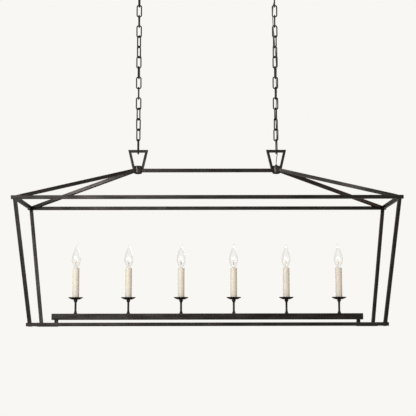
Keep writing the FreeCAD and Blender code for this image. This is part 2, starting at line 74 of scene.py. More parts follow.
MM = 0.001
ALONG = Vector((1, 0, 0))
ACROSS = Vector((0, 1, 0))
UP = Vector((0, 0, 1))
DROP = 1284.0
CHAIN_X = 254.0
TOP_CORNER = (673.0, 159.0, 441.5)
BOTTOM_CORNER = (618.0, 120.0, 0.0)
OPEN_END = 11.5
SINK = 0.4
WELD_GAP = 0.1
RAFTER_SPARE = 6.0
RIDGE_HEIGHT = 561.5
RAFTER_HEAD = 565.7
RAFTER_FOOT_X = 670.0
RAFTER_FOOT_Y = 157.5
HUB_R = 14.3
HUB_WALL = 2.8
HUB_BASE = 552.6
HUB_TOP = 578.0
CHAIN_FOOT = 626.55
SECOND_LINK_FOOT = 674.95
TOP_LINK_FOOT = 1186.85
LOOP_FOOT = 1225.95
LINK_TURNS = {
    "left": (83, -42, 42, -48, 8, 90, 0, 78, -18, 52, -45, 5, 85, -3, 80),
    "right": (87, -33, 45, -72, 3, 90, 0, 72, -28, 35, -58, 5, 88, 0, 85),
}
SIDES = {"left": -1, "right": 1}
FACES = {"front": -1, "back": 1}
QUARTERS = [(f"{face}_{side}", x_side, y_side)
            for face, y_side in FACES.items() for side, x_side in SIDES.items()]
CANDLE_PITCH = 190.5
CANDLE_XS = [CANDLE_PITCH * (i - 2.5) for i in range(6)]
TIP_TURNS = (15, -20, 10, 95, 30, 170)
GLASS_FOOT = 202.0
GLASS_OUTLINE = (
    (0.0, 6.2), (3.0, 6.8), (8.0, 8.8), (14.0, 12.1), (22.0, 15.0), (30.0, 16.0),
    (38.0, 15.6), (46.0, 14.0), (54.0, 11.9), (62.0, 9.4), (70.0, 6.4), (77.0, 3.7), (84.0, 2.1),
    (90.0, 0.9),
)


def point(x, y, height):
    """A place from millimetres along and across, and a height above the bottom rails."""
    return Vector((x, y, height - DROP)) * MM


def corner_point(corner, x_side, y_side):
    """The place of one of the frame's four upper or lower corners."""
    x, y, height = corner
    return point(x_side * x, y_side * y, height)


# Settings

class TubeSettings(bpy.types.PropertyGroup):
    width: FloatProperty(name="Tube width", description="Outside width of the square tube",
                         default=12.7 * MM, unit="LENGTH")
    corner: FloatProperty(name="Tube corner", description="Radius of the tube's long edges",
                          default=0.9 * MM, unit="LENGTH")
    weld: FloatProperty(name="Weld bead", description="Radius of the weld beads at the joints",
                        default=1.0 * MM, unit="LENGTH")


class ChainSettings(bpy.types.PropertyGroup):
    wire: FloatProperty(name="Link wire", description="Thickness of a link's wire",
                        default=4.8 * MM, unit="LENGTH")
    length: FloatProperty(name="Link length", description="Inside length of a link",
                          default=39.4 * MM, unit="LENGTH")
    end_length: FloatProperty(name="End link length", description="Inside length of the low link",
                              default=48.4 * MM, unit="LENGTH")
    width: FloatProperty(name="Link width", description="Inside width of a link",
                         default=11.4 * MM, unit="LENGTH")
    cord: FloatProperty(name="Cord thickness", description="Thickness of the supply cord",
                        default=3.2 * MM, unit="LENGTH")


class CandleSettings(bpy.types.PropertyGroup):
    glow: FloatProperty(name="Filament glow", description="Strength of the lit filaments",
                        default=7.0, min=0.0)
    steps: IntProperty(name="Turned steps", description="Sides of the turned pieces", default=56,
                       min=12)


class FinishSettings(bpy.types.PropertyGroup):
    iron: FloatVectorProperty(name="Iron", description="Colour of the aged iron", subtype="COLOR",
                              default=(0.0180, 0.0154, 0.0137))
    rubbed: FloatVectorProperty(name="Rubbed iron", description="Colour where the iron is rubbed",
                                subtype="COLOR", default=(0.144, 0.125, 0.110))
    candle: FloatVectorProperty(name="Candle", description="Colour of the candle sleeves",
                                subtype="COLOR", default=(0.92, 0.85, 0.74))
    cord: FloatVectorProperty(name="Cord", description="Colour of the supply cord",
                              subtype="COLOR", default=(0.035, 0.033, 0.030))


class StageSettings(bpy.types.PropertyGroup):
    backdrop: FloatVectorProperty(name="Backdrop", description="Colour behind the light",
                                  subtype="COLOR", default=(0.939, 0.930, 0.896))
    floor: FloatProperty(name="Floor", description="Height of the floor below the ceiling",
                         default=-2.6, unit="LENGTH")


# Shader building

class Value:
    """A number that changes over a surface, with Python's arithmetic."""

    def __init__(self, shader, socket):
        self.shader = shader
        self.socket = socket

    def maths(self, operation, *values):
        return self.shader.node("ShaderNodeMath", {"operation": operation}, *values)

    def __add__(self, other):
        return self.maths("ADD", self, other)

    __radd__ = __add__

    def __sub__(self, other):
        return self.maths("SUBTRACT", self, other)

    def __rsub__(self, other):
        return self.maths("SUBTRACT", other, self)

    def __mul__(self, other):
        return self.maths("MULTIPLY", self, other)

    __rmul__ = __mul__

    def clamped(self):
        """The number held between 0 and 1."""
        return self.maths("MINIMUM", self.maths("MAXIMUM", self, 0), 1)


class Shader:
    """The node tree of a material or a world, built from calls."""

    def __init__(self, owner):
        owner.use_nodes = True
        self.owner = owner
        self.tree = owner.node_tree
        self.tree.nodes.clear()

    def node(self, kind, settings=None, *values, output=0, **named):
        """Adds a node. Settings come first, then its sockets' values or links, by place or name."""
        made = self.tree.nodes.new(kind)
        for key, value in (settings or {}).items():
            if key == "stops":
                for element, place in zip(made.color_ramp.elements, value):
                    element.position = place
            else:
                setattr(made, key, value)
        for key, value in [*enumerate(values), *named.items()]:
            if value is None:
                continue
            socket = made.inputs[key.replace("_", " ") if isinstance(key, str) else key]
            if isinstance(value, Value):
                self.tree.links.new(value.socket, socket)
            elif socket.type == "RGBA":
                socket.default_value = (*value, 1)
            else:
                socket.default_value = value
        return Value(self, made.outputs[output]) if made.outputs else None

    def mixed(self, factor, first, second):
        """A colour between two. The empty places are a Mix node's sockets of other kinds."""
        return self.node("ShaderNodeMix", {"data_type": "RGBA"}, factor, *[None] * 5, first,
                         second, output=2)

    def along(self, run, across, shift=0.0):
        """Places on the piece's own run, stretched along it and across it."""
        uv = self.node("ShaderNodeUVMap", {"uv_map": "Run"})
        return self.node("ShaderNodeMapping", None, uv, (shift, shift * 0.7, 0), (0, 0, 0),
                         (run, across, 1))

    def grain(self, scale, detail, roughness, where=None):
        """Noise in the object's own space, or over the places given."""
        where = where or self.node("ShaderNodeTexCoord", output=3)
        return self.node("ShaderNodeTexNoise", None, where, Scale=scale, Detail=detail,
                         Roughness=roughness)

    def ramp(self, factor, low, high):
        """Rises from 0 to 1 between two values of the factor."""
        return self.node("ShaderNodeValToRGB", {"stops": (low, high)}, factor)

    def bump(self, height, strength, distance):
        return self.node("ShaderNodeBump", None, Strength=strength, Distance=distance,
                         Height=height)

    def principled(self, **named):
        return self.node("ShaderNodeBsdfPrincipled", None, **named)

    def finish(self, surface):
        """Puts the surface on the output, and gives back what has it."""
        world = isinstance(self.owner, bpy.types.World)
        self.node("ShaderNodeOutputWorld" if world else "ShaderNodeOutputMaterial", None, surface)
        return self.owner


def aged_iron(s, iron, rubbed, polish=0.0):
    """A dark waxed skin with lengthwise streaks, soft mottling and rubbed edges."""
    streaks = s.grain(1.0, 5.0, 0.62, s.along(9, 420))
    drift = s.grain(1.0, 3.0, 0.5, s.along(14, 60, 3.1))
    mottle = s.grain(260.0, 5.0, 0.6)
    pits = s.grain(1500.0, 2.0, 0.5)
    wear = s.node("ShaderNodeAttribute", {"attribute_name": "wear"}, output=2)
    streak = s.ramp(streaks, 0.40, 0.72)
    patch = s.ramp(drift, 0.38, 0.68)
    grit = s.ramp(mottle, 0.42, 0.72)
    rub = (wear * (mottle * 1.8 - 0.35) * 0.8).clamped()
    light = (streak * 0.13 + patch * 0.05 + grit * 0.10 + rub * 0.45).clamped()
    colour = s.mixed(patch, [0.5 * c for c in iron], iron)
    relief = streaks * 0.5 + mottle * 0.7 + pits * 0.35
    return s.principled(
        Base_Color=s.mixed(light, colour, rubbed), Metallic=0.8, Specular_IOR_Level=0.2,
        Roughness=0.29 - polish - streak * 0.04 + grit * 0.12,
        Specular_Tint=(0.15, 0.15, 0.15), Normal=s.bump(relief, 0.35, 0.0003))


def moulded_candle(s, colour):
    """Candle-coloured plastic with faint drawn lines."""
    lines = s.grain(1.0, 3.0, 0.5, s.along(25, 900))
    cloud = s.grain(45.0, 3.0, 0.5)
    deep = (colour[0] * 0.94, colour[1] * 0.89, colour[2] * 0.80)
    return s.principled(
        Base_Color=s.mixed(s.ramp(cloud, 0.35, 0.70) * 0.5, colour, deep),
        Roughness=0.42 + cloud * 0.14, Normal=s.bump(lines * 0.5 + cloud, 0.10, 0.0003))


def plastic(s, colour, roughness):
    """Moulded plastic with a fine grain."""
    speck = s.grain(900.0, 3.0, 0.5)
    return s.principled(
        Base_Color=s.mixed(speck * 0.5, colour, [c * 0.6 for c in colour]),
        Roughness=roughness + speck * 0.12, Normal=s.bump(speck, 0.2, 0.0002))


def bright_metal(s, colour, shade, roughness):
    """Metal with drawn lines and a little tarnish."""
    lines = s.grain(700.0, 4.0, 0.6)
    tarnish = s.grain(120.0, 3.0, 0.5)
    return s.principled(
        Base_Color=s.mixed(s.ramp(tarnish, 0.42, 0.72) * 0.7, colour, shade), Metallic=1.0,
        Roughness=roughness + tarnish * 0.2, Normal=s.bump(lines, 0.12, 0.0002))


def twisted_cord(s, colour):
    """Twisted strands that show through a clear sheath."""
    strands = s.node("ShaderNodeTexWave", {"wave_type": "BANDS", "bands_direction": "DIAGONAL"},
                     s.along(700, 500), Scale=1.0, Distortion=0.6, Detail=1.0, output=1)
    blotch = s.grain(320.0, 3.0, 0.5)
    tone = s.mixed((strands * 0.75 + blotch * 0.3).clamped(), [c * 0.40 for c in colour], colour)
    return s.principled(
        Base_Color=tone, Metallic=0.25, Roughness=0.30 + blotch * 0.15, Coat_Weight=0.5,
        Normal=s.bump(strands, 0.25, 0.0003))


def blown_glass(s):
    """Clear glass with a faint grey edge, painted shade where the glass is seen edge-on."""
    edge = s.node("ShaderNodeLayerWeight", None, Blend=0.5, output=1)
    # Painted shade: the glass turns grey towards its outline as the camera sees it, standing in for
    # the darker edges that reflection and bending of light give.
    tone = s.mixed(edge * edge * 0.95, (0.975, 0.97, 0.96), (0.40, 0.385, 0.365))
    return s.principled(
        Base_Color=tone, Roughness=0.0, IOR=1.45, Transmission_Weight=1.0,
        Normal=s.bump(s.grain(60.0, 2.0, 0.5), 0.06, 0.0006))


def lit_filament(s, glow):
    """A glowing tungsten wire."""
    tone = s.mixed(s.grain(500.0, 2.0, 0.5) * 0.6, (1.0, 0.80, 0.52), (1.0, 0.66, 0.34))
    return s.principled(
        Base_Color=(0.3, 0.25, 0.2), Roughness=0.4, Emission_Color=tone, Emission_Strength=glow)


finishes = {}


def finish(name):
    """A finish of the light, made when it is first asked for."""
    if name not in finishes:
        colours = bpy.context.scene.lantern_finish
        build, *values = {
            "aged iron": (aged_iron, colours.iron, colours.rubbed),
            "hub iron": (aged_iron, colours.iron, colours.rubbed, 0.13),
            "candle": (moulded_candle, colours.candle),
            "black plastic": (plastic, (0.012, 0.012, 0.013), 0.42),
            "lead sheath": (plastic, (0.02, 0.02, 0.02), 0.5),
            "ground green": (plastic, (0.02, 0.12, 0.04), 0.4),
            "zinc steel": (bright_metal, (0.62, 0.62, 0.60), (0.38, 0.37, 0.34), 0.28),
            "brass": (bright_metal, (0.78, 0.58, 0.28), (0.42, 0.27, 0.10), 0.22),
            "lead wire": (bright_metal, (0.45, 0.24, 0.12), (0.22, 0.11, 0.06), 0.3),
            "silver cord": (twisted_cord, colours.cord),
            "clear glass": (blown_glass,),
            "filament": (lit_filament, bpy.context.scene.lantern_candle.glow),
        }[name]
        s = Shader(bpy.data.materials.new(name))
        finishes[name] = s.finish(build(s, *values))
    return finishes[name]


# Mesh building

def placed(name, data):
    """A new object in the scene."""
    made = bpy.data.objects.new(name, data)
    bpy.context.scene.collection.objects.link(made)
    return made


class Shell:
    """Points, faces and their run coordinates, gathered into one mesh."""

    def __init__(self):
        self.points = []
        self.wear = []
        self.faces = []
        self.runs = []

    def ring_surface(self, rings, steps, girth, name="", closed=False):
        """Joins rings of (point, wear) pairs, the steps apart, and caps them unless they close."""
        first = len(self.points)
        count = len(rings[0])
        shift = spread(name)
        alongs = [shift + total for total in accumulate(steps, initial=0.0)]
        acrosses = [girth * k / count for k in range(count + 1)]
        for where, wear in (spot for ring in rings for spot in ring):
            self.points.append(where)
            self.wear.append(wear)
        for i in range(len(rings) if closed else len(rings) - 1):
            j = (i + 1) % len(rings)
            for k in range(count):
                m = (k + 1) % count
                self.faces.append((first + i * count + k, first + i * count + m,
                                   first + j * count + m, first + j * count + k))
                u0, u1 = alongs[i], alongs[i + 1]
                v0, v1 = acrosses[k], acrosses[k + 1]
                self.runs.append(((u0, v0), (u0, v1), (u1, v1), (u1, v0)))
        if not closed:
            for i, order in ((0, -1), (len(rings) - 1, 1)):
                loop = [first + i * count + k for k in range(count)][::order]
                self.faces.append(tuple(loop))
                centre = sum((self.points[k] for k in loop), Vector()) / count
                self.runs.append(tuple((alongs[i] + (self.points[k] - centre).length, 0.002)
                                       for k in loop))

    def ground_flush(self):
        """Moves in what stands outside the frame's box, as where a weld is ground flush."""
        inset = 0.05 * MM
        low, high = cad_box
        self.points = [Vector([min(max(c, a + inset), b - inset) for c, a, b in zip(p, low, high)])
                       for p in self.points]
        return self

    def piece(self, name, *nodes, body="lantern", surface="aged iron", crease=35):
        """Makes a smooth-shaded object that rides on a body and stands for its nodes."""
        mesh = bpy.data.meshes.new(name)
        mesh.from_pydata([tuple(p) for p in self.points], [], self.faces)
        flat = [c for run in self.runs for pair in run for c in pair]
        mesh.uv_layers.new(name="Run").data.foreach_set("uv", flat)
        mesh.attributes.new("wear", "FLOAT", "POINT").data.foreach_set("value", self.wear)
        mesh.validate()
        tidy = bmesh.new()
        tidy.from_mesh(mesh)
        bmesh.ops.recalc_face_normals(tidy, faces=tidy.faces)
        tidy.to_mesh(mesh)
        tidy.free()
        mesh.shade_smooth()
        mesh.set_sharp_from_angle(angle=radians(crease))
        mesh.materials.append(finish(surface))
        made = placed(name, mesh)
        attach(made, body)
        if nodes:
            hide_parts(*nodes)
        return made


def spread(name):
    """A steady number for a piece's name, so that no two pieces share their streaks."""
    return sum((i + 3) * ord(letter) for i, letter in enumerate(name)) % 997 * 0.137


def circle(steps):
    """Angles all the way round."""
    return [2 * pi * k / steps for k in range(steps)]


def tube_half():
    """Half the tube's width in millimetres."""
    return bpy.context.scene.lantern_tube.width / MM / 2


def square_section(width, depth, corner):
    """Points and wear round a bar's rounded section, with a support point beside each corner."""
    quarter = pi / 2
    support = 0.9 * MM
    centres = [(x_side * (width / 2 - corner), y_side * (depth / 2 - corner))
               for x_side, y_side in ((1, 1), (-1, 1), (-1, -1), (1, -1))]
    ring = []
    for k, (x, y) in enumerate(centres):
        turn = quarter * k
        for step, worn in ((0, 0.9), (0.5, 1.0), (1, 0.9)):
            angle = turn + step * quarter
            ring.append((x + corner * cos(angle), y + corner * sin(angle), worn))
        ahead = turn + quarter
        for (x, y), reach in ((centres[k], support), (centres[(k + 1) % 4], -support)):
            ring.append((x + corner * cos(ahead) + reach * cos(ahead + quarter),
                         y + corner * sin(ahead) + reach * sin(ahead + quarter), 0.0))
    return ring


def bar(shell, start, end, up, name, cuts=(), width=None, depth=None, corner=None):
    """A rounded square bar, trimmed by planes given as (point, outward normal)."""
    tube = bpy.context.scene.lantern_tube
    width = width or tube.width
    axis = (end - start).normalized()
    side = axis.cross(up).normalized()
    top = side.cross(axis).normalized()
    length = (end - start).length
    stations = [(0, 1.0), (length, 1.0)]
    if not cuts:
        chamfer = 0.5 * MM
        inset = 1 - 2 * chamfer / width
        stations = [(0, inset), (chamfer, 1.0), (chamfer * 3, 1.0), (length - chamfer * 3, 1.0),
                    (length - chamfer, 1.0), (length, inset)]
    work = bmesh.new()
    run = work.loops.layers.uv.new("Run")
    worn = work.verts.layers.float.new("wear")
    rings = []
    for along, scale in stations:
        rings.append([])
        for x, y, wear in square_section(width, depth or width, corner or tube.corner):
            vertex = work.verts.new(start + axis * along + side * (x * scale) + top * (y * scale))
            vertex[worn] = wear if 0 < along < length or cuts else 1.0
            rings[-1].append(vertex)
    for ring, after in zip(rings, rings[1:]):
        for k in range(len(ring)):
            m = (k + 1) % len(ring)
            work.faces.new((ring[k], ring[m], after[m], after[k]))
    work.faces.new(rings[0][::-1])
    work.faces.new(rings[-1])
    for where, normal in cuts:
        found = work.verts[:] + work.edges[:] + work.faces[:]
        result = bmesh.ops.bisect_plane(work, geom=found, plane_co=where, plane_no=normal,
                                        clear_outer=True)
        edges = [g for g in result["geom_cut"] if isinstance(g, bmesh.types.BMEdge)]
        bmesh.ops.holes_fill(work, edges=edges, sides=0)
    bmesh.ops.recalc_face_normals(work, faces=work.faces)
    shift = spread(name)
    for face in work.faces:
        to_side, to_top, to_end = (abs(face.normal.dot(way)) for way in (side, top, axis))
        for loop in face.loops:
            off = loop.vert.co - start
            along, over, rise = off.dot(axis), off.dot(side), off.dot(top)
            if to_end > 0.8:
                loop[run].uv = (shift + over, rise)
            elif to_side > to_top:
                loop[run].uv = (shift + along, rise + copysign(0.1, over))
            else:
                loop[run].uv = (shift + along, over + copysign(0.3, rise))
    first = len(shell.points)
    work.verts.index_update()
    for vertex in work.verts:
        shell.points.append(vertex.co.copy())
        shell.wear.append(vertex[worn])
    for face in work.faces:
        shell.faces.append(tuple(first + v.index for v in face.verts))
        shell.runs.append(tuple(tuple(loop[run].uv) for loop in face.loops))
    work.free()
    return shell


def fillet(profile, radius, steps=3):
    """A turned profile with rounded corners. Points are (radius, height, own rounding)."""
    points = []
    for i, item in enumerate(profile):
        here = Vector(item[:2])
        own = item[2] if len(item) > 2 else radius
        if i in (0, len(profile) - 1) or own == 0:
            points.append(here)
            continue
        into, out = here - Vector(profile[i - 1][:2]), Vector(profile[i + 1][:2]) - here
        turn = into.angle(out, 0)
        if turn < radians(12):
            points.append(here)
            continue
        reach = min(own * tan(turn / 2), 0.45 * into.length, 0.45 * out.length)
        a, b = here - into.normalized() * reach, here + out.normalized() * reach
        for k in range(steps + 1):
            t = k / steps
            points.append(a * (1 - t) ** 2 + here * (2 * t * (1 - t)) + b * t ** 2)
    return points


def turned(shell, profile, x, name, radius=0.4, bend=None, closed=False, steps=None):
    """Turns a profile of (radius, height) in millimetres about an upright axis."""
    steps = steps or bpy.context.scene.lantern_candle.steps
    points = fillet(profile, radius)
    lengths = [(b - a).length * MM for a, b in zip(points, points[1:] + points[:1])]
    widest = max(p.x for p in points) * MM
    rings = []
    for i, where in enumerate(points):
        wear = 0.0
        if 0 < i < len(points) - 1:
            into, out = where - points[i - 1], points[i + 1] - where
            if into.length > 1e-6 and out.length > 1e-6:
                cross = into.x * out.y - into.y * out.x
                wear = min(1.0, max(0.0, copysign(into.angle(out, 0), cross) / 0.5))
        sway = bend(where.y) if bend else (0.0, 0.0)
        rings.append([
            (point(x + sway[0] + where.x * cos(t), sway[1] + where.x * sin(t), where.y),
             wear) for t in circle(steps)])
    shell.ring_surface(rings, lengths, 2 * pi * widest, name, closed)
    return shell


def wire(shell, path, radius, sides, name, closed=False, radii=None, wear=None, up=None):
    """A round wire along points in metres."""
    count = len(path)
    tangents = []
    for i in range(count):
        before = path[i - 1] if closed or i else path[0]
        after = path[(i + 1) % count] if closed or i < count - 1 else path[-1]
        tangents.append((after - before).normalized())
    aside = up or (UP if abs(tangents[0].dot(UP)) < 0.9 else ALONG)
    normal = (aside - tangents[0] * aside.dot(tangents[0])).normalized()
    rings = []
    for i, (where, tangent) in enumerate(zip(path, tangents)):
        normal = (normal - tangent * normal.dot(tangent)).normalized()
        across = tangent.cross(normal)
        size = radii[i] if radii else radius
        worn = wear[i] if wear else 0.0
        rings.append([(where + normal * (size * cos(t)) + across * (size * sin(t)), worn)
                      for t in circle(sides)])
    steps = [(path[(i + 1) % count] - path[i]).length for i in range(count)]
    shell.ring_surface(rings, steps, 2 * pi * radius, name, closed)
    return shell


def weld(shell, centre, axis, up, name, width=None, depth=None):
    """A ground weld bead round a square bar where it meets another."""
    tube = bpy.context.scene.lantern_tube
    width = width or tube.width
    side = axis.cross(up).normalized()
    top = side.cross(axis).normalized()
    section = square_section(width, depth or width, tube.corner)
    step = 1.2 * MM
    dense = []
    for (x0, y0, _), (x1, y1, _) in zip(section, section[1:] + section[:1]):
        parts = max(1, round(hypot(x1 - x0, y1 - y0) / step))
        for t in (k / parts for k in range(parts)):
            dense.append(centre + side * (x0 + (x1 - x0) * t) + top * (y0 + (y1 - y0) * t))
    radii = [tube.weld * (1 + 0.35 * noise.noise(p * 260.0)) for p in dense]
    wire(shell, dense, tube.weld, 8, name, True, radii, [0.35] * len(dense), axis)


def loop_outline(reach, corner, low, high, steps):
    """(across, height) points up, over and round an upright loop with round corners."""
    points = []
    for x_sign, z, begin in ((1, high - corner, 0), (-1, high - corner, 90),
                             (-1, low + corner, 180), (1, low + corner, 270)):
        for k in range(steps + 1):
            angle = radians(begin + 90 / steps * k)
            points.append((x_sign * (reach - corner) + corner * cos(angle),
                           z + corner * sin(angle)))
    return points


# Pieces

class LANTERN_OT_frame_tubes(bpy.types.Operator):
    """Make the rails, posts, rafters and ridge with their plugs and welds"""

    bl_idname = "lantern.frame_tubes"
    bl_label = "Frame Tubes"

    def tube(self, name, start, end, up=UP, cuts=()):
        bar(Shell(), start, end, up, name, cuts).piece(f"{name}_tube", name)

    def rails(self):
        for level, (x, y, height) in (("top", TOP_CORNER), ("bottom", BOTTOM_CORNER)):
            reach = x + OPEN_END
            for face, y_side in FACES.items():
                self.tube(f"{level}_rail_{face}", point(-reach, y_side * y, height),
                          point(reach, y_side * y, height))
            trim = ACROSS * ((y - tube_half() + SINK) * MM)
            for side, x_side in SIDES.items():
                self.tube(f"{level}_end_rail_{side}", point(x_side * x, -y, height),
                          point(x_side * x, y, height), cuts=((trim, ACROSS), (-trim, -ACROSS)))

    def plugs(self):
        """The domed faces of the pressed plugs."""
        width = bpy.context.scene.lantern_tube.width
        section = square_section(width, width, 1.6 * MM)
        dome = ((-0.5, 0.97), (0.1, 0.985), (0.75, 0.98), (1.15, 0.94), (1.4, 0.82), (1.5, 0.55),
                (1.52, 0.2))
        shell = Shell()
        for cx, cy, height in (TOP_CORNER, BOTTOM_CORNER):
            for _, x_side, y_side in QUARTERS:
                outward = ALONG * x_side
                side = outward.cross(UP)
                seat = point(x_side * (cx + OPEN_END), y_side * cy, height)
                rings = [[(seat + outward * (out * MM) + side * (x * scale) + UP * (y * scale),
                           0.8 if 1 < out < 1.45 else 0.2 * worn) for x, y, worn in section]
                         for out, scale in dome]
                shell.ring_surface(rings, [0.5 * MM] * 6, 3 * MM * len(section))
        shell.piece("rail_plug_caps", "rail_plugs")

    def posts(self):
        inset = tube_half() - SINK
        cuts = ((point(0, 0, inset), -UP), (point(0, 0, TOP_CORNER[2] - inset), UP))
        for quarter, x_side, y_side in QUARTERS:
            self.tube(f"post_{quarter}", corner_point(BOTTOM_CORNER, x_side, y_side),
                      corner_point(TOP_CORNER, x_side, y_side), ACROSS, cuts)

    def rafters(self):
        for quarter, x_side, y_side in QUARTERS:
            head = point(x_side * CHAIN_X, 0, RAFTER_HEAD)
            foot = corner_point(TOP_CORNER, x_side, y_side)
            past = (foot - head).normalized() * (RAFTER_SPARE * MM)
            self.tube(f"hip_rafter_{quarter}", head, foot + past, cuts=(
                (point(0, 0, 0), ACROSS * -y_side),
                (point(0, y_side * RAFTER_FOOT_Y, 0), ACROSS * y_side),
                (point(x_side * RAFTER_FOOT_X, 0, 0), ALONG * x_side)))

    def ridge(self):
        reach = CHAIN_X - HUB_R + 1.5
        bar(Shell(), point(-reach, 0, RIDGE_HEIGHT), point(reach, 0, RIDGE_HEIGHT), UP,
            "ridge").piece("ridge_bar", "ridge_tube")

    def welds(self):
        shell = Shell()
        half = tube_half()
        wide = bpy.context.scene.lantern_tube.width + 0.3 * MM
        for _, x_side, y_side in QUARTERS:
            top = corner_point(TOP_CORNER, x_side, y_side)
            low = corner_point(BOTTOM_CORNER, x_side, y_side)
            reach = (top - low).normalized() * ((half + 0.2) * MM)
            for end in (low + reach, top - reach):
                weld(shell, end, UP, ACROSS, "post weld", wide)
        for x, y, height in (TOP_CORNER, BOTTOM_CORNER):
            for _, x_side, y_side in QUARTERS:
                weld(shell, point(x_side * x, y_side * (y - half - WELD_GAP), height), ACROSS, UP,
                     "rail weld")
        for x_side in (-1, 1):
            weld(shell, point(x_side * (CHAIN_X - HUB_R + 0.6), 0, RIDGE_HEIGHT), ALONG, UP,
                 "ridge weld")
        shell.ground_flush().piece("frame_welds", crease=180)

    def execute(self, context):
        self.rails()
        self.plugs()
        self.posts()
        self.rafters()
        self.ridge()
        self.welds()
        return {"FINISHED"}


class LANTERN_OT_hubs(bpy.types.Operator):
    """Make the hubs, their caps and the hangers that the chains hook into"""

    bl_idname = "lantern.hubs"
    bl_label = "Hubs and Hangers"

    def hanger(self, side, x):
        """A tapered stirrup of square bar, mitred at its upper corners and sunk in the hub."""
        top, foot, sunk = 633.2, 577.7, 562.0
        upper, lower = 31.0, 18.0
        lean = (upper - lower) / (top - foot)
        beyond = 12 * MM
        size = {"width": 9.5 * MM, "corner": 0.9 * MM}
        name = f"hanger_{side}"
        legs = []
        for hand in (-1, 1):
            corner = point(x + hand * upper, 0, top)
            end = point(x + hand * lower - hand * lean * (foot - sunk), 0, sunk)
            down = (end - corner).normalized()
            legs.append((corner, end, down, (ALONG * -hand - down).normalized()))
        shell = bar(Shell(), legs[0][0] - ALONG * beyond, legs[1][0] + ALONG * beyond, ACROSS,
                    name, [(corner, -mitre) for corner, _, _, mitre in legs], **size)
        for corner, end, down, mitre in legs:
            bar(shell, corner - down * beyond, end, ACROSS, name + str(end.x), [(corner, mitre)],
                **size)
        shell.piece(f"{name}_stirrup", name)

    def hub(self, side, x):
        ceiling = HUB_TOP - HUB_WALL
        inner = HUB_R - HUB_WALL
        bored = side == "right"
        bore = 4.05 if bored else 0.01
        turned(Shell(), [
            (bore, ceiling), (inner, ceiling), (inner, HUB_BASE), (HUB_R, HUB_BASE, 0.3),
            (HUB_R, HUB_TOP, 2.2), (bore, HUB_TOP),
        ], x, f"hub {side}", closed=bored).piece(
            f"hub_{side}_body", f"hub_{side}", surface="hub iron")

    def caps(self):
        shell = Shell()
        for x_side in (-1, 1):
            turned(shell, [
                (0.01, HUB_BASE - 4.6, 0), (4.0, HUB_BASE - 4.45, 3), (9.0, HUB_BASE - 3.6, 3),
                (12.6, HUB_BASE - 2.4, 2), (HUB_R, HUB_BASE - 1.5, 0.8),
                (HUB_R, HUB_BASE - 0.2, 0.4), (HUB_R - 0.6, HUB_BASE, 0.2), (0.01, HUB_BASE, 0),
            ], x_side * CHAIN_X, f"cap {x_side}")
        shell.piece("hub_cap_domes", "hub_caps")

    def execute(self, context):
        for side, x_side in SIDES.items():
            self.hanger(side, x_side * CHAIN_X)
            self.hub(side, x_side * CHAIN_X)
        self.caps()
        return {"FINISHED"}


class LANTERN_OT_chains(bpy.types.Operator):
    """Make the links of both chains"""

    bl_idname = "lantern.chains"
    bl_label = "Chains"

    def link(self, shell, x, foot, turn, length, name):
        """One rounded link with the fine seam where its wire was closed."""
        size = bpy.context.scene.lantern_chain
        wire_size = size.wire / MM
        corner, seam, worn_run, worn_most = 6.6, 0.86, 5.0, 0.7
        reach = (size.width / MM + wire_size) / 2
        low, high = foot - wire_size / 2, foot + length + wire_size / 2
        middle = (low + high) / 2
        plane = [(reach, middle + z) for z in (0.0, 0.35, 1.2, 6.0)]
        plane += loop_outline(reach, corner, low, high, 6)
        plane += [(reach, middle + z) for z in (-6.0, -1.2, -0.35)]
        radius = wire_size / 2 * MM
        radii = [radius * seam] + [radius] * (len(plane) - 1)
        straight = length / 2 - 3.0
        wear = [min(1.0, max(0.0, (abs(z - middle) - straight) / worn_run)) * worn_most
                for _, z in plane]
        turn = radians(turn)
        path = [point(x + a * cos(turn), a * sin(turn), z) for a, z in plane]
        wire(shell, path, radius, 16, name, True, radii, wear,
             Vector((-sin(turn), cos(turn), 0)))
        return shell

    def execute(self, context):
        size = context.scene.lantern_chain
        length = size.length / MM
        for side, x_side in SIDES.items():
            turns = LINK_TURNS[side]
            x = x_side * CHAIN_X
            shell = self.link(Shell(), x, CHAIN_FOOT, turns[0], size.end_length / MM,
                              f"end link {side}")
            for i, turn in enumerate(turns[1:-1]):
                self.link(shell, x, SECOND_LINK_FOOT + length * i, turn, length, f"link {side} {i}")
            shell.piece(f"chain_{side}_links", f"chain_{side}", body=f"{side}_chain", crease=60)
            self.link(Shell(), x, TOP_LINK_FOOT, turns[-1], length, f"top link {side}").piece(
                f"top_link_{side}_ring", f"top_link_{side}", body=f"{side}_top_link", crease=60)
        return {"FINISHED"}


CORD_TOP = (
    (0.0, 0.0, 1261.0), (0.0, 0.1, 1246.0), (5.3, 4.6, 1233.0), (4.3, 4.7, 1219.0),
    (-3.5, -3.5, 1196.5), (-5.27, -5.35, 1184.45),
)
CORD_MIDDLE = (
    (-5.27, -5.35, 1184.45), (-7.9, -8.1, 1166.5), (-7.8, -8.6, 1136.5), (-6.6, -8.6, 1106.5),
    (-4.6, -8.7, 1076.5), (-2.2, -9.1, 1046.5), (0.2, -9.8, 1016.5), (2.3, -10.3, 986.5),
    (3.7, -9.8, 956.5), (4.1, -7.1, 926.5), (3.1, -1.1, 896.5), (5.0, 5.7, 866.5),
    (4.8, 9.4, 836.5), (3.4, 11.0, 806.5), (2.0, 11.3, 776.5), (1.7, 11.2, 746.5),
    (2.6, 10.9, 716.5), (4.1, 10.3, 686.5), (5.4, 9.3, 656.5), (5.3, 7.3, 630.0),
    (4.84, 6.42, 624.15),
)
CORD_FOOT = (
    (4.84, 6.42, 624.15), (2.7, 3.3, 611.0), (0.0, 0.0, 595.0), (0.0, 0.0, 579.0),
)


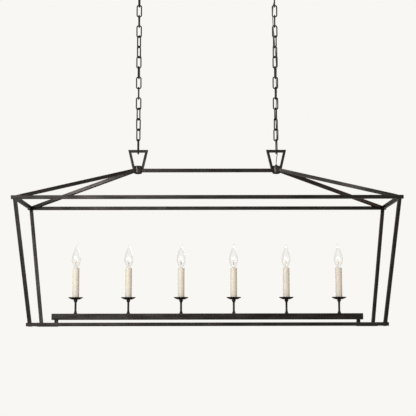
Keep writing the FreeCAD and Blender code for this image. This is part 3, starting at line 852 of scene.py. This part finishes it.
class LANTERN_OT_supply_cord(bpy.types.Operator):
    """Lay the supply cord down through the right chain to its bush"""

    bl_idname = "lantern.supply_cord"
    bl_label = "Supply Cord"

    def line(self, name, route):
        """The cord's smooth line through a stretch of its route."""
        curve = bpy.data.curves.new(name, "CURVE")
        curve.dimensions = "3D"
        spline = curve.splines.new("NURBS")
        spline.points.add(len(route) - 1)
        for control, (x, y, height) in zip(spline.points, route):
            control.co = (*point(CHAIN_X + x, y, height), 1)
        spline.order_u = 3
        spline.use_endpoint_u = True
        spline.resolution_u = 12
        return bpy.data.objects.new(name, curve)

    def stretch(self, name, route, node, length, body, next_body=None):
        """A round cord along a stretch on a body; one that reaches a second body is taken off its
        body and fixed where it lies.
        """
        guide = self.line(name + "_line", route)
        mesh = bpy.data.meshes.new_from_object(guide)
        path = [v.co.copy() for v in mesh.vertices]
        size = bpy.context.scene.lantern_chain.cord
        made = wire(Shell(), path, size / 2, 14, "cord").piece(
            name, node, body=body, surface="silver cord", crease=60)
        bpy.data.objects.remove(guide)
        if next_body:
            made.parent = None
            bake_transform(made)

    def execute(self, context):
        self.stretch("cord_top_stretch", CORD_TOP, "supply_cord_top", 0.081, "ceiling",
                     "right_top_link")
        self.stretch("cord_long_stretch", CORD_MIDDLE, "supply_cord", 0.563, "right_chain")
        self.stretch("cord_foot_stretch", CORD_FOOT, "supply_cord_foot", 0.046, "right_chain",
                     "lantern")
        turned(Shell(), [
            (1.8, 575.2), (4.0, 575.2), (4.0, 578.0), (6.0, 578.0), (6.0, 579.4, 0.6),
            (3.4, 582.6, 1.2), (2.6, 583.0, 0.5), (1.8, 583.0),
        ], CHAIN_X, "bush", closed=True).piece("cord_bush", "cord_bushing", surface="black plastic")
        return {"FINISHED"}


class LANTERN_OT_candle_bar(bpy.types.Operator):
    """Make the candle bar with its cover, risers and arms"""

    bl_idname = "lantern.candle_bar"
    bl_label = "Candle Bar"

    def level_bar(self, name, piece, node, reach, height, **size):
        bar(Shell(), point(-reach, 0, height), point(reach, 0, height), UP, name,
            **{key: value * MM for key, value in size.items()}).piece(piece, node)

    def execute(self, context):
        self.level_bar("candle bar", "candle_bar_channel", "candle_bar", 560.5, 27.8, width=25,
                       depth=22.5, corner=1.3)
        self.level_bar("bar cover", "candle_bar_strip", "candle_bar_cover", 558.9, 17.2,
                       width=21.8, depth=1.4, corner=0.3)
        half = tube_half()
        riser_x, riser_top = 544.5, 16.95
        arm_z, arm_depth = half - 7.0, 14 * MM
        arms, risers, welds = Shell(), Shell(), Shell()
        for x_side in (-1, 1):
            bar(arms, point(x_side * (riser_x - half), 0, arm_z), point(x_side * 614, 0, arm_z), UP,
                f"arm {x_side}", [(point(x_side * (618.4 - half), 0, 0), ALONG * x_side)],
                depth=arm_depth)
            x = x_side * riser_x
            bar(risers, point(x, 0, 4.0), point(x, 0, 19.0), ACROSS, f"riser {x_side}",
                [(point(0, 0, half - SINK), -UP), (point(0, 0, riser_top), UP)])
            for height in (half + WELD_GAP, riser_top - 0.5):
                weld(welds, point(x, 0, height), UP, ACROSS, "riser weld")
            weld(welds, point(x_side * (618.1 - half), 0, arm_z), ALONG, UP, "arm weld",
                 depth=arm_depth)
        arms.piece("bar_arm_pair", "bar_arms")
        risers.piece("bar_riser_pair", "bar_risers")
        welds.ground_flush().piece("bar_welds", crease=180)
        return {"FINISHED"}


class LANTERN_OT_candles(bpy.types.Operator):
    """Make the stems, drip pans, sockets and sleeves of the candles"""

    bl_idname = "lantern.candles"
    bl_label = "Candles"

    def row(self, name, piece, node, surface, profile):
        """The same turned piece in every candle."""
        shell = Shell()
        for i, x in enumerate(CANDLE_XS):
            turned(shell, profile, x, f"{name} {i}", radius=0.3, closed=True)
        shell.piece(piece, node, surface=surface)

    def execute(self, context):
        self.row("stem", "candle_stem_turnings", "candle_stems", "aged iron", [
            (2.0, 35.05), (4.0, 35.05), (4.0, 39.05, 0), (6.8, 39.05, 0), (6.8, 40.3, 0.4),
            (5.7, 41.6, 1), (4.8, 44.2, 2), (4.1, 47.4, 3), (3.75, 51.2, 3), (3.7, 66.0, 3),
            (3.75, 76.5, 3), (4.2, 79.6, 3), (5.2, 81.8, 2), (7.0, 83.2, 0.6), (7.2, 84.2, 0.5),
            (7.2, 86.0, 0.5), (6.1, 87.0, 0.5), (6.3, 88.8, 0.2), (4.0, 88.8, 0), (4.0, 94.5),
            (2.0, 94.5)])
        self.row("pan", "drip_pan_dishes", "drip_pans", "aged iron", [
            (4.05, 88.8), (9.0, 88.8, 2), (13.0, 89.6, 4), (17.0, 90.9, 5), (20.0, 92.2, 5),
            (22.0, 93.25, 5), (24.5, 94.75, 5), (26.4, 96.0, 0.5), (26.4, 97.4, 0.3),
            (26.1, 97.85, 0.3), (25.75, 97.9, 0.2), (25.3, 97.8, 0.3), (25.1, 97.4, 0.3),
            (25.1, 96.4, 0.5), (22.0, 94.7, 5), (19.2, 93.4, 5), (15.5, 91.95, 5),
            (12.0, 90.85, 4), (8.6, 90.1, 2), (4.05, 90.1)])
        self.row("socket", "candle_socket_bodies", "candle_sockets", "black plastic", [
            (4.05, 90.1), (6.4, 90.1), (6.4, 93.9, 0.2), (11.9, 93.9, 0.3), (11.9, 96.0, 0.3),
            (5.0, 96.0, 0.3), (5.0, 171.0), (9.8, 173.0), (9.8, 184.0), (9.5, 184.6), (9.5, 185.4),
            (9.8, 186.0), (9.8, 200.0, 0.6), (6.3, 200.0, 0.4), (6.3, 175.0), (3.2, 175.0),
            (3.2, 94.5), (4.05, 94.5)])
        self.row("sleeve", "candle_sleeve_tubes", "candle_sleeves", "candle", [
            (10.6, 96.0), (12.2, 96.0, 0.3), (12.2, 203.0, 0.8), (10.6, 203.0, 0.7)])
        return {"FINISHED"}


class LANTERN_OT_bulbs(bpy.types.Operator):
    """Make the flame-shaped bulbs with their glass, mounts, filaments and screw bases"""

    bl_idname = "lantern.bulbs"
    bl_label = "Bulbs"

    def outline(self, inset, top):
        """Smooth (radius, height) points up the glass."""
        knots = [Vector((r - inset, h)) for h, r in GLASS_OUTLINE if h <= top]
        smooth = []
        for i in range(len(knots) - 1):
            a, b = knots[max(i - 1, 0)], knots[i]
            c, d = knots[i + 1], knots[min(i + 2, len(knots) - 1)]
            for t in (0, 0.25, 0.5, 0.75):
                smooth.append(0.5 * ((2 * b) + (c - a) * t + (2 * a - 5 * b + 4 * c - d) * t ** 2
                                     + (3 * b - a - 3 * c + d) * t ** 3))
        return [(max(spot.x, 0.05), GLASS_FOOT + spot.y, 0) for spot in (*smooth, knots[-1])]

    def lean(self, turn):
        """How far the drawn tip leans at a height."""
        angle = radians(turn)
        straight, drawn, sway = 50.0, 40.0, 3.2

        def bend(height):
            rise = max(height - GLASS_FOOT - straight, 0) / drawn
            return sway * rise ** 2 * cos(angle), sway * rise ** 2 * sin(angle)
        return bend

    def glass(self, number, x, turn, body):
        outside = [*self.outline(0, 91.0), (0.05, GLASS_FOOT + 90.3, 0)]
        inside = [*self.outline(0.7, 80.0), (0.05, GLASS_FOOT + 80.0, 0)]
        turned(Shell(), outside + inside[::-1], x, f"glass {number}", bend=self.lean(turn),
               closed=True).piece(
            f"bulb_{number}_glass", f"bulb_glass_{number}", body=body, surface="clear glass",
            crease=180)

    def mount(self, number, x, turn, body):
        """The glass mount that rises from the base with its two lead wires."""
        foot = GLASS_FOOT
        turned(Shell(), [
            (0.05, foot - 1.0, 0), (4.6, foot - 1.0, 0.3), (4.2, foot + 2.0, 1),
            (2.6, foot + 8.0, 2), (2.1, foot + 13.0, 2), (2.4, foot + 17.0, 1),
            (1.6, foot + 19.0, 0.8), (0.05, foot + 19.4, 0),
        ], x, f"mount {number}", steps=24).piece(
            f"bulb_{number}_mount", body=body, surface="clear glass", crease=60)
        lead = Shell()
        angle = radians(turn + 60)
        across = Vector((cos(angle), sin(angle), 0))
        for sign in (-1, 1):
            path = [point(x, 0, foot + h) + across * (sign * a * MM)
                    for a, h in ((0.8, 10), (0.9, 18), (1.6, 22), (3.6, 28), (4.6, 33))]
            wire(lead, path, 0.28 * MM, 8, "lead")
        turned(lead, [
            (0.05, foot + 18.4, 0), (2.0, foot + 18.6, 0.3), (2.3, foot + 20.4, 0.5),
            (1.2, foot + 21.6, 0.5), (0.05, foot + 21.8, 0),
        ], x, f"collar {number}", steps=24).piece(
            f"bulb_{number}_leads", body=body, surface="lead wire", crease=60)
        turns, low, arch, half, coil, path = 16, 33, 5.5, 4.6, 0.75 * MM, []
        for t in (k / (turns * 10) for k in range(turns * 10 + 1)):
            spin = 2 * pi * turns * t
            centre = point(x, 0, foot + (low + arch * sin(pi * t)))
            centre += across * ((-half + 2 * half * t) * MM)
            path.append(centre + (across.cross(UP) * cos(spin) + UP * sin(spin)) * coil)
        wire(Shell(), path, 0.22 * MM, 6, "coil").piece(
            f"bulb_{number}_filament", body=body, surface="filament", crease=180)

    def base(self, number, x, body):
        """The screw shell with its rolled thread and foot contact."""
        thread = []
        for z in (181.6 + 2.6 * k for k in range(6)):
            thread += [(5.9, z, 0.7), (5.4, z + 1.3, 0.7)]
        turned(Shell(), [
            (0.05, 176.2, 0), (2.5, 176.2, 0.4), (2.5, 178.0, 0.3), (4.4, 178.6, 0.5),
            (5.4, 180.6, 0.5), *thread, (5.9, 198.0, 0.5), (5.9, 199.6, 0.4), (6.8, 200.4, 0.3),
            (6.8, 202.0, 0.3), (5.3, 202.0, 0.2), (5.3, 184.0, 0.3), (0.05, 184.0, 0),
        ], x, f"base {number}").piece(
            f"bulb_{number}_base", f"bulb_base_{number}", body=body, surface="brass")

    def execute(self, context):
        for number, (x, turn) in enumerate(zip(CANDLE_XS, TIP_TURNS), start=1):
            body = f"bulb_{number}"
            self.glass(number, x, turn, body)
            self.mount(number, x, turn, body)
            self.base(number, x, body)
        return {"FINISHED"}


class LANTERN_OT_ceiling(bpy.types.Operator):
    """Make the canopies, loops and rings, and finish the parts that stay from the frame"""

    bl_idname = "lantern.ceiling"
    bl_label = "Ceiling Fittings"

    def loop(self, side, x):
        """The loop that a chain hangs in, with its threaded collar."""
        radius, bore = 2.5, 1.8
        eye = loop_outline(14.5, 10.0, LOOP_FOOT - radius, LOOP_FOOT + 24 + radius, 8)
        shell = wire(Shell(), [point(x + a, 0, z) for a, z in eye], radius * MM, 18, f"loop {side}",
                     closed=True, up=ACROSS)
        turned(shell, [
            (bore, 1251.0), (6.4, 1250.7, 0.8), (8.4, 1251.2, 0.8), (12.7, 1254.2, 0.8),
            (12.7, 1268.0, 0.4), (4.85, 1268.0, 0.2), (4.85, 1257.0, 0.2), (bore, 1257.0),
        ], x, f"collar {side}", closed=True).piece(
            f"canopy_loop_{side}_eye", f"canopy_loop_{side}", body="ceiling")

    def canopies(self):
        shell = Shell()
        for x_side in (-1, 1):
            turned(shell, [
                (13.0, 1262.0), (30.0, 1262.0, 8), (46.0, 1264.2, 10), (56.5, 1269.5, 8),
                (61.8, 1276.0, 5), (62.6, 1279.6, 2), (63.5, 1280.4, 0.5), (63.5, 1284.0, 0.3),
                (62.3, 1284.0, 0.3), (62.3, 1281.0, 0.5), (61.4, 1280.0, 2), (60.4, 1276.4, 5),
                (55.6, 1270.6, 8), (45.6, 1265.4, 10), (29.8, 1263.2, 8), (13.0, 1263.2),
            ], x_side * CHAIN_X, f"canopy {x_side}", closed=True, steps=112)
        shell.piece("canopy_covers", "canopies", body="ceiling")

    def rings(self):
        """The rings that hold the canopies, with a fluted grip."""
        shell = Shell()
        steps, flutes, flute_depth, grip = 192, 24, 0.75, 18.0
        profile = ((12.8, 1254.0), (16.4, 1254.0), (17.6, 1254.8), (grip, 1256.0), (grip, 1260.4),
                   (17.5, 1261.6), (16.6, 1262.0), (12.8, 1262.0))
        waves = [(angle, 0.5 + 0.5 * cos(flutes * angle)) for angle in circle(steps)]
        for x_side in (-1, 1):
            rings = []
            for r, height in profile:
                rings.append([])
                for angle, wave in waves:
                    out = r - (flute_depth * wave ** 2 if r > 16 else 0.0)
                    rings[-1].append((
                        point(x_side * CHAIN_X + out * cos(angle), out * sin(angle), height),
                        0.6 * (1 - wave) if r > 17 else 0.0))
            shell.ring_surface(rings, [2 * MM] * len(rings), 2 * pi * grip * MM, closed=True)
        shell.piece("collar_ring_pair", "collar_rings", body="ceiling")

    def execute(self, context):
        for side, x_side in SIDES.items():
            self.loop(side, x_side * CHAIN_X)
        self.canopies()
        self.rings()
        kept = {"ceiling_brackets": "zinc steel", "bracket_nipples": "zinc steel",
                "nipple_nuts": "zinc steel", "ground_screws": "ground green",
                "wiring": "lead sheath"}
        for node, surface in kept.items():
            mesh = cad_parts[node].data
            mesh.materials.clear()
            mesh.materials.append(finish(surface))
        return {"FINISHED"}


class LANTERN_OT_stage(bpy.types.Operator):
    """Set the floor, the lights, the backdrop and the camera"""

    bl_idname = "lantern.stage"
    bl_label = "Stage"

    def camera(self):
        data = bpy.data.cameras.new("Camera")
        data.lens = 82.19
        data.sensor_width = 36.0
        data.clip_end = 50.0
        view = placed("Camera", data)
        tilt, yaw, roll = 0.1243, 0.0048241, -0.0018
        forward = Vector((sin(yaw) * cos(tilt), cos(yaw) * cos(tilt),
                          sin(tilt)))
        right = forward.cross(UP).normalized()
        over = right.cross(forward)
        rolled = right * cos(roll) + over * sin(roll)
        over = over * cos(roll) - right * sin(roll)
        axes = Matrix((rolled, over, -forward)).transposed().to_4x4()
        view.matrix_world = Matrix.Translation(point(-13.96, -3448.5, -8.36)) @ axes
        bpy.context.scene.camera = view

    def backdrop(self, s, colour, lit, kind):
        """Shows the plain backdrop colour to the camera, to gloss and through glass."""
        seen = 0
        for ray in ("Camera", "Glossy", "Transmission"):
            seen = seen + s.node("ShaderNodeLightPath", output=f"Is {ray} Ray")
        plain = s.node(kind, None, colour)
        return s.finish(s.node("ShaderNodeMixShader", None, seen.clamped(), lit, plain))

    def world(self, colour):
        world = bpy.data.worlds.new("Room")
        bpy.context.scene.world = world
        s = Shader(world)
        lit = s.node("ShaderNodeBackground", None, (1.0, 0.95, 0.88), 0.26)
        self.backdrop(s, colour, lit, "ShaderNodeBackground")

    def floor(self, colour, height):
        mesh = bpy.data.meshes.new("floor")
        reach = 6.0
        mesh.from_pydata([(-reach, -reach, height), (reach, -reach, height),
                          (reach, reach, height), (-reach, reach, height)], [], [(0, 1, 2, 3)])
        s = Shader(bpy.data.materials.new("floor"))
        lit = s.node("ShaderNodeBsdfDiffuse", None, colour)
        mesh.materials.append(self.backdrop(s, colour, lit, "ShaderNodeEmission"))
        placed("floor", mesh)

    def lamp(self, name, where, width, height, power, colour=(1.0, 1.0, 1.0)):
        """A soft rectangular lamp turned to the middle of the light."""
        data = bpy.data.lights.new(name, "AREA")
        data.shape = "RECTANGLE"
        data.size, data.size_y = width, height
        data.energy = power
        data.color = colour
        lamp = placed(name, data)
        lamp.location = where
        middle = Vector((0, 0, -0.95))
        lamp.rotation_euler = (middle - Vector(where)).to_track_quat("-Z", "Y").to_euler()

    def execute(self, context):
        stage = context.scene.lantern_stage
        context.scene.view_settings.view_transform = "Standard"
        self.world(stage.backdrop)
        self.floor(stage.backdrop, stage.floor)
        self.lamp("Key", (-0.9, -3.45, -0.6), 1.2, 1.0, 27, (0.92, 0.96, 1.0))
        self.lamp("Side", (-2.15, -2.25, -0.22), 0.5, 1.2, 47, (0.92, 0.96, 1.0))
        self.lamp("Fill", (2.7, -1.5, -0.9), 1.6, 1.6, 12, (1.0, 0.66, 0.40))
        self.lamp("Back", (0.8, 3.0, 0.1), 1.6, 1.0, 14)
        self.camera()
        return {"FINISHED"}


class LANTERN_PT_panel(bpy.types.Panel):
    """The pieces of the light and their settings"""

    bl_idname = "LANTERN_PT_panel"
    bl_label = "Lantern Pendant"
    bl_space_type = "VIEW_3D"
    bl_region_type = "UI"
    bl_category = "Lantern"

    def draw(self, context):
        scene = context.scene
        for group in GROUPS:
            settings = getattr(scene, group)
            box = self.layout.box()
            for name in settings.bl_rna.properties.keys():
                if name not in ("rna_type", "name"):
                    box.prop(settings, name)
        for operator in OPERATORS:
            self.layout.operator(operator.bl_idname)


GROUPS = {
    "lantern_tube": TubeSettings,
    "lantern_chain": ChainSettings,
    "lantern_candle": CandleSettings,
    "lantern_finish": FinishSettings,
    "lantern_stage": StageSettings,
}
OPERATORS = (
    LANTERN_OT_stage,
    LANTERN_OT_supply_cord,
    LANTERN_OT_frame_tubes,
    LANTERN_OT_hubs,
    LANTERN_OT_chains,
    LANTERN_OT_candle_bar,
    LANTERN_OT_candles,
    LANTERN_OT_bulbs,
    LANTERN_OT_ceiling,
)


def register():
    for cls in (*GROUPS.values(), *OPERATORS, LANTERN_PT_panel):
        bpy.utils.register_class(cls)
    for name, cls in GROUPS.items():
        setattr(bpy.types.Scene, name, PointerProperty(type=cls))


def unregister():
    for name in GROUPS:
        delattr(bpy.types.Scene, name)
    for cls in (LANTERN_PT_panel, *reversed(OPERATORS), *GROUPS.values()):
        bpy.utils.unregister_class(cls)


def main():
    register()
    for operator in OPERATORS:
        group, name = operator.bl_idname.split(".")
        getattr(getattr(bpy.ops, group), name)()


if __name__ == "__main__":
    main()
